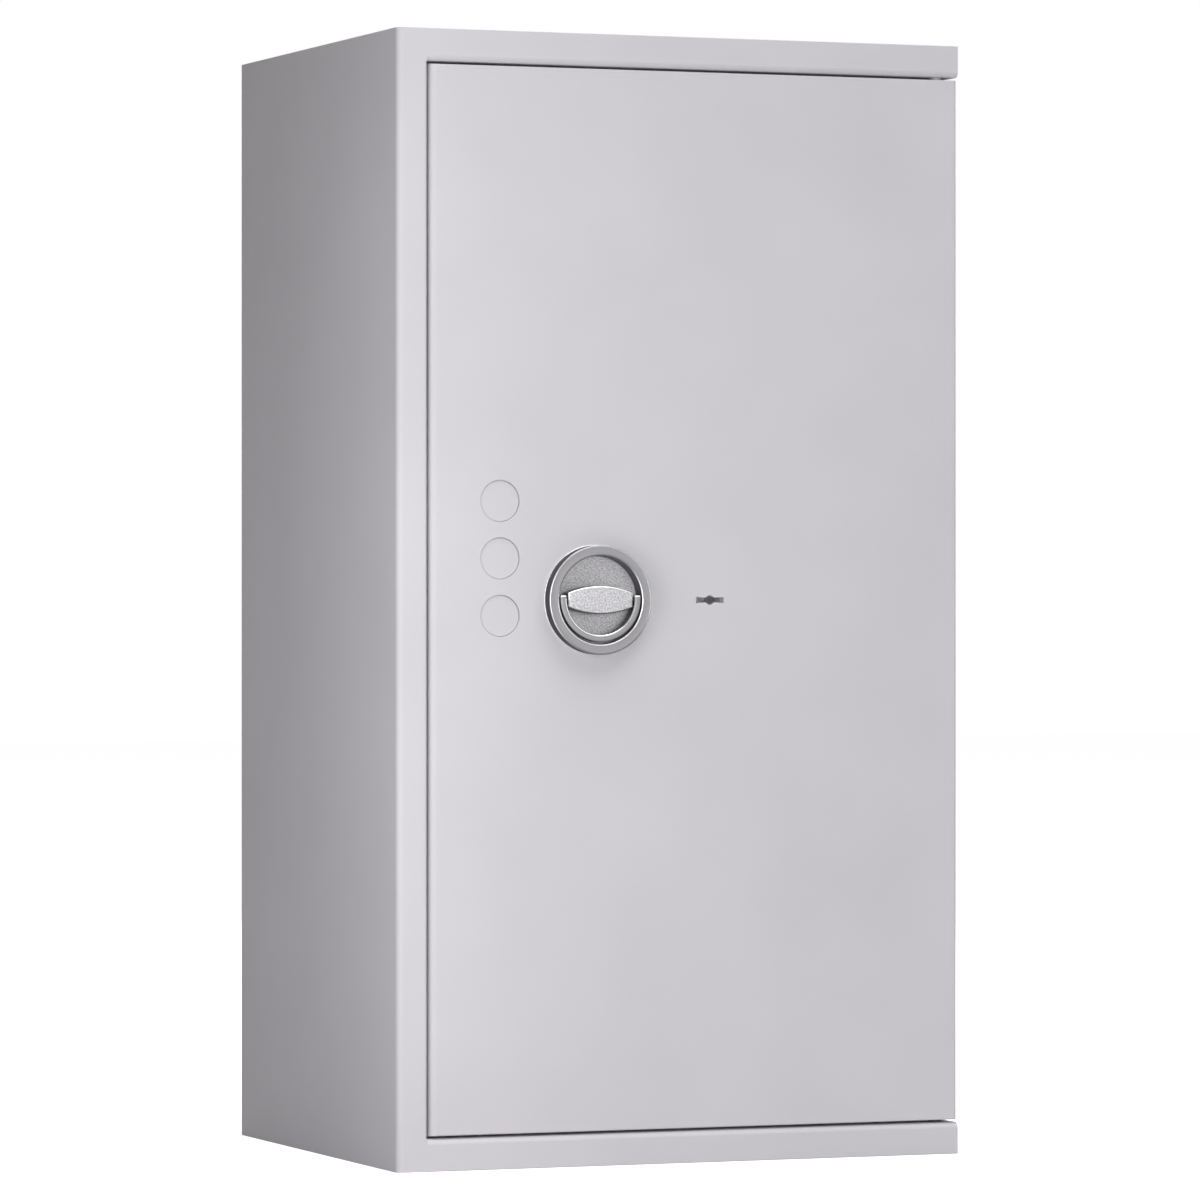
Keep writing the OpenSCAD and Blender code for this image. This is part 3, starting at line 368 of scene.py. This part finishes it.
handle_low, handle_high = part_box("handle_body")
handle_x = (handle_low.x + handle_high.x) / 2
handle_z = (handle_low.z + handle_high.z) / 2
ring_y = handle_low.y
RING_R = (handle_high.x - handle_low.x) / 2
CUP_R = 36.5 * MM
CUP_DEPTH = 13 * MM
CUP_WALL = 2 * MM
SKIRT_T = 2.5 * MM
FACE_T = 3.5 * MM
SKIRT_DEPTH = 11.2 * MM
LIP_W = 1.1 * MM
LIP_STEP = 0.25 * MM
TURN_STEPS = 192
UP, UP_LEFT, LEFT, DOWN_RIGHT = (0, 0, 1), (-0.17, 0, 0.98), (-1, 0, 0), (0.26, 0, -0.97)
# painted highlights on the handle: the outer rim lighter towards the upper left, the inner rim
# towards the lower right, the rose light all over
outer_rim = painted_highlight_edge(
    "zinc_casting_outer_rim_painted_highlight", UP_LEFT, -0.8 * RING_R, -0.3 * RING_R, "#a2a2a4"
)
inner_rim = painted_highlight_edge(
    "zinc_casting_inner_rim_painted_highlight", DOWN_RIGHT, -0.55 * CUP_R, -0.1 * CUP_R, "#b8b8ba"
)
rose_rim = painted_highlight_edge("zinc_casting_rose_painted_highlight", UP_LEFT, -2 * RING_R, -RING_R, "#d8d8da")
nodes["handle_rose"].material_slots[0].material = rose_rim


def handle_casting():
    """Ring, skirt and cup in one: the section's rounded outline turned once round the axis."""
    face_y = ring_y + LIP_STEP
    skirt_y = ring_y + SKIRT_DEPTH
    floor_y = ring_y + CUP_DEPTH
    back_y = ring_y + FACE_T
    ring_edge = (RING_R, ring_y)
    grit, cup, inner, face, outer, skirt = range(6)
    # radius, depth, rounding in mm and the finish of the way from here to the next corner
    section = [
        (0, floor_y, 0, grit),
        (CUP_R, floor_y, 1.0, cup),
        (CUP_R, ring_y, 0.7, inner),
        (CUP_R + LIP_W, ring_y, 0.1, inner),
        (CUP_R + LIP_W + LIP_STEP / 2, face_y, 0.1, face),
        (RING_R - LIP_W - LIP_STEP / 2, face_y, 0.1, outer),
        (RING_R - LIP_W, ring_y, 0.1, outer),
        (*ring_edge, 0.7, skirt),
        (RING_R, skirt_y, 0.3, skirt),
        (RING_R - SKIRT_T, skirt_y, 0.3, skirt),
        (RING_R - SKIRT_T, back_y, 0.3, skirt),
        (CUP_R + CUP_WALL, back_y, 0.3, skirt),
        (CUP_R + CUP_WALL, handle_high.y, 0.3, skirt),
        (0, handle_high.y, 0, skirt),
    ]
    table = np.array(section)
    corners, radii, after = table[:, :2], table[:, 2] * MM, table[:, 3].astype(int)
    path, tags = rounded(corners, radii)
    turn = np.linspace(0, 2 * np.pi, TURN_STEPS, endpoint=False)
    radius, depth = path[:, :1], path[:, 1:]
    x, z = handle_x + radius * np.cos(turn), handle_z + radius * np.sin(turn)
    grid = np.stack([x, depth + 0 * turn, z], axis=-1)
    tags = tags[:-1]
    bands = after[(tags + 1) // 2]
    # the arc at the ring's edge takes the outer rim's painted highlight
    edge_arc = 2 * [row[:2] for row in section].index(ring_edge) - 1
    bands[tags == edge_arc] = outer
    finishes = [grit_floor, cup_wall, inner_rim, satin, outer_rim, skirt_painted_shade]
    slot, stands_for = "satin_die_casting", "handle_body"
    piece("handle_casting", grid, finishes, "handle", stands_for, bands)


bar_low, bar_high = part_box("grip_bar")
BAR_LEN = bar_high.x - bar_low.x
BAR_MID_H = bar_high.z - bar_low.z
BAR_END_H = 12 * MM
BAR_EDGE = 1.1 * MM
BAR_CROWN = 0.35 * MM
BAR_ARC_POINTS = 49
BAR_END_POINTS = 7
CROWN_SIZES = (0.9, 0.75, 0.6, 0.4, 0.2, 0.0)
# painted highlight on the grip bar's rim, lighter towards its top
bar_rim = painted_highlight_edge(
    "zinc_casting_bar_rim_painted_highlight", UP, -0.1 * BAR_END_H, 0.6 * BAR_END_H, "#e6e6e8"
)


def bar_outline(inset):
    """The lens between two arcs, cut off square at both ends, inset on every side."""
    rise = (BAR_MID_H - BAR_END_H) / 2
    arc_r = ((BAR_LEN / 2) ** 2 + rise**2) / (2 * rise)
    half = BAR_LEN / 2 - inset
    x = half * np.sin(np.linspace(-np.pi / 2, np.pi / 2, BAR_ARC_POINTS))
    top = np.sqrt((arc_r - inset) ** 2 - x**2) - (arc_r - BAR_MID_H / 2)
    down = np.linspace(1, -1, BAR_END_POINTS + 2)[1:-1]
    end_x = np.full(BAR_END_POINTS, half)
    loop_x = np.concatenate([x, end_x, x[::-1], -end_x])
    loop_z = np.concatenate([top, top[-1] * down, -top[::-1], -top[0] * down])
    return loop_x, loop_z


def grip_casting():
    """The grip bar: outlines stacked into a wall, a quarter circle at its edge and a low crown.

    The crown falls with the square of the distance from the middle.
    """
    crown_y = ring_y + BAR_CROWN
    rows = [bar_outline(0)]
    depths = [ring_y + CUP_DEPTH]
    for angle in QUARTER:
        rows.append(bar_outline(BAR_EDGE * (1 - math.cos(angle))))
        depths.append(crown_y + BAR_EDGE * (1 - math.sin(angle)))
    inner_x, inner_z = bar_outline(BAR_EDGE)
    for size in CROWN_SIZES:
        rows.append((inner_x * size, inner_z * size))
        depths.append(ring_y + BAR_CROWN * size**2)
    # the foot is closed by a row shrunk to a point on the cup's floor
    rows.insert(0, (0 * inner_x, 0 * inner_z))
    depths.insert(0, depths[0])
    x, z = np.array(rows).transpose(1, 0, 2)
    y = np.array(depths)[:, None] + 0 * x
    grid = np.stack([handle_x + x, y, handle_z + z], axis=-1)
    top, wall, rim = range(3)
    bands = np.full(len(grid) - 1, top)
    # under the edge lie the foot and the wall, and the painted highlight leaves out the edge's
    # first step
    edge = 2
    bands[:edge] = wall
    bands[edge + 1 : edge + ARC_STEPS] = rim
    finishes = [grit_bar, cup_wall, bar_rim]
    slot, stands_for = "grained_die_casting", "grip_bar"
    piece("grip_casting", grid, finishes, "handle", stands_for, bands)


BAIL_R = 35.5 * MM
BAIL_W = 5.75 * MM
BAIL_T = 6 * MM
BAIL_ARC_UP = 1.2 * MM
BAIL_TOP = 3.9 * MM
BAIL_EDGE = 1.3 * MM
BOW_POINTS = 73
# painted highlights on the bail: its inner front edge lighter towards the left, the tops of its
# arms light all over
HIGHLIGHT_W = 1.1 * BAIL_EDGE
HIGHLIGHT_TIP = 0.9 * BAIL_EDGE
bail_rim = painted_highlight_edge(
    "zinc_casting_bail_rim_painted_highlight", LEFT, -0.85 * BAIL_R, -0.1 * BAIL_R, "#e2e2e4"
)
bail_top = painted_highlight_edge("zinc_casting_bail_top_painted_highlight", UP, -2 * BAIL_R, -BAIL_R, "#dcdcde")


def bail_casting():
    """The folding bail: a rounded square carried down one arm, round the bow and up the other.

    At both tops it shrinks by a quarter circle over the last BAIL_EDGE, which rounds the ends.
    """
    low_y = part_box("bail")[0].y
    middle_r = BAIL_R - BAIL_W / 2
    arm = BAIL_TOP - BAIL_ARC_UP
    down = QUARTER[::-1]
    part_way = 0.35 * (arm - BAIL_EDGE)
    arm_up = np.append(arm - BAIL_EDGE * (1 - np.sin(down)), part_way)
    shrink = np.append(BAIL_EDGE * (1 - np.cos(down)), 0)
    turn = np.linspace(np.pi, 2 * np.pi, BOW_POINTS)
    side, level = np.ones(len(arm_up)), np.zeros(len(arm_up))
    # the way out of the bow's middle, and the path that lies middle_r along it
    out_x = np.concatenate([-side, np.cos(turn), side])
    out_z = np.concatenate([level, np.sin(turn), level])
    path_x = middle_r * out_x
    path_z = np.concatenate([arm_up, middle_r * np.sin(turn), arm_up[::-1]]) + BAIL_ARC_UP
    inset = np.concatenate([shrink, 0 * turn, shrink[::-1]])
    across, deep = square_section(BAIL_W, BAIL_T, BAIL_EDGE)
    half = BAIL_W / 2
    scale = (half - inset)[:, None] / half
    grid = np.stack(
        [
            handle_x + path_x[:, None] + out_x[:, None] * across * scale,
            low_y + BAIL_T / 2 + deep * scale,
            handle_z + path_z[:, None] + out_z[:, None] * across * scale,
        ],
        axis=-1,
    )
    # both ends are closed by a row shrunk to its own middle
    ends = grid[[0, -1]].mean(axis=1, keepdims=True).repeat(grid.shape[1], 1)
    grid = np.concatenate([ends[:1], grid, ends[1:]])
    finishes = [satin, bail_rim, bail_top]
    made = piece("bail_casting", grid, finishes, "bail", "bail")
    # the bow's inner front edge and the tops of the arms take painted highlights
    faces = made.data.polygons
    centre = np.empty(len(faces) * 3)
    faces.foreach_get("center", centre)
    x, y, z = centre.reshape(-1, 3).T
    radius = np.hypot(x - handle_x, z - handle_z - BAIL_ARC_UP)
    inner = (radius < BAIL_R - BAIL_W + HIGHLIGHT_W) & (z < handle_z + BAIL_ARC_UP)
    front = y < low_y + BAIL_EDGE
    top = z > handle_z + BAIL_TOP - HIGHLIGHT_TIP
    plain, rim, tip = range(3)
    index = np.where(top, tip, np.where(inner & front, rim, plain))
    faces.foreach_set("material_index", index.astype(np.int32))


handle_casting()
grip_casting()
bail_casting()


# ---------------------------------------------------------------- floor, light and camera


def lens_rays(tree):
    """1 for a ray from the camera, a mirror or glass, and 0 for one that only gathers light."""
    path = add(tree, "LightPath")
    seen = path.outputs["Is Camera Ray"]
    for other in ("Is Glossy Ray", "Is Transmission Ray"):
        sockets = [seen, path.outputs[other]]
        seen = add(tree, "Math", wires=dict(enumerate(sockets)), operation="MAXIMUM").outputs[0]
    return seen


FLOOR_SIZE = 30.0
FLOOR_GLOW = 0.98


def pale_floor():
    """A plain white floor under the cabinet.

    Its glow, for the lens alone, brings it up to the white backdrop.
    """
    material, tree, shader, _ = finish("floor_white_paper", Roughness=0.9, Specular_IOR_Level=0.0)
    shader.inputs["Base Color"].default_value = linear("#b4b4b5")
    shader.inputs["Emission Color"].default_value = (1, 1, 1, 1)
    glow = add(tree, "Math", {1: FLOOR_GLOW}, {0: lens_rays(tree)}, operation="MULTIPLY")
    tree.links.new(glow.outputs[0], shader.inputs["Emission Strength"])
    half = FLOOR_SIZE / 2
    mesh = bpy.data.meshes.new("floor")
    square = [(-half, -half, 0), (half, -half, 0), (half, half, 0), (-half, half, 0)]
    mesh.from_pydata(square, [], [(0, 1, 2, 3)])
    mesh.materials.append(material)
    floor = bpy.data.objects.new("floor", mesh)
    bpy.context.scene.collection.objects.link(floor)


def white_room():
    """A white backdrop that the lens and reflections see, and that gives no light of its own."""
    world = bpy.data.worlds.new("white_room")
    bpy.context.scene.world = world
    world.use_nodes = True
    tree = world.node_tree
    tree.nodes.clear()
    wires = {"Strength": lens_rays(tree)}
    sky = add(tree, "Background", {"Color": (1, 1, 1, 1)}, wires)
    add(tree, "OutputWorld", wires={"Surface": sky.outputs[0]})


def lamp(name, place, aim, width, height, watts):
    """A soft box of width by height at place, turned to aim."""
    light = bpy.data.lights.new(name, "AREA")
    light.shape = "RECTANGLE"
    light.size = width
    light.size_y = height
    light.energy = watts
    made = bpy.data.objects.new(name, light)
    made.location = place
    made.rotation_euler = (Vector(aim) - Vector(place)).to_track_quat("-Z", "Y").to_euler()
    bpy.context.scene.collection.objects.link(made)


pale_floor()
white_room()
MIDDLE_Z = 0.465
FRONT_MIDDLE = (0, -0.2, MIDDLE_Z)
# name, place, aim, width, height and watts
lamps = (
    ("front_softbox", (-0.4, -4.4, 0.4), FRONT_MIDDLE, 2.0, 2.0, 91),
    ("high_softbox", (0.5, -2.5, 7.0), FRONT_MIDDLE, 6.0, 6.0, 336),
    ("front_right_softbox", (1.6, -3.2, 0.8), FRONT_MIDDLE, 1.5, 1.5, 5.5),
    ("left_softbox", (-0.92, -0.72, 0.45), (-0.2, -0.2, 0.45), 0.7, 0.7, 1.65),
    ("corner_striplight", (-0.52, -0.47, MIDDLE_Z), (-0.2, -0.15, MIDDLE_Z), 0.25, 1.1, 0.95),
    ("right_softbox", (2.3, 1.5, 1.6), (0.2, 0, 0.5), 1.2, 1.2, 34),
    ("back_softbox", (0.4, 3.4, 1.6), (0, 0.2, 0.5), 1.6, 1.6, 68),
)
for settings in lamps:
    lamp(*settings)

CAMERA_PLACE = (-2.014, -5.112, MIDDLE_Z)
HEADING = math.radians(21.56)
LENS_MM = 192.9
SENSOR_MM = 36
FAR_CLIP = 100
camera = bpy.data.objects.new("camera", bpy.data.cameras.new("camera"))
camera.data.sensor_width = SENSOR_MM
camera.data.lens = LENS_MM
camera.data.clip_end = FAR_CLIP
camera.location = CAMERA_PLACE
camera.rotation_euler = (math.pi / 2, 0, -HEADING)
bpy.context.scene.collection.objects.link(camera)
bpy.context.scene.camera = camera
bpy.context.scene.view_settings.view_transform = "Standard"
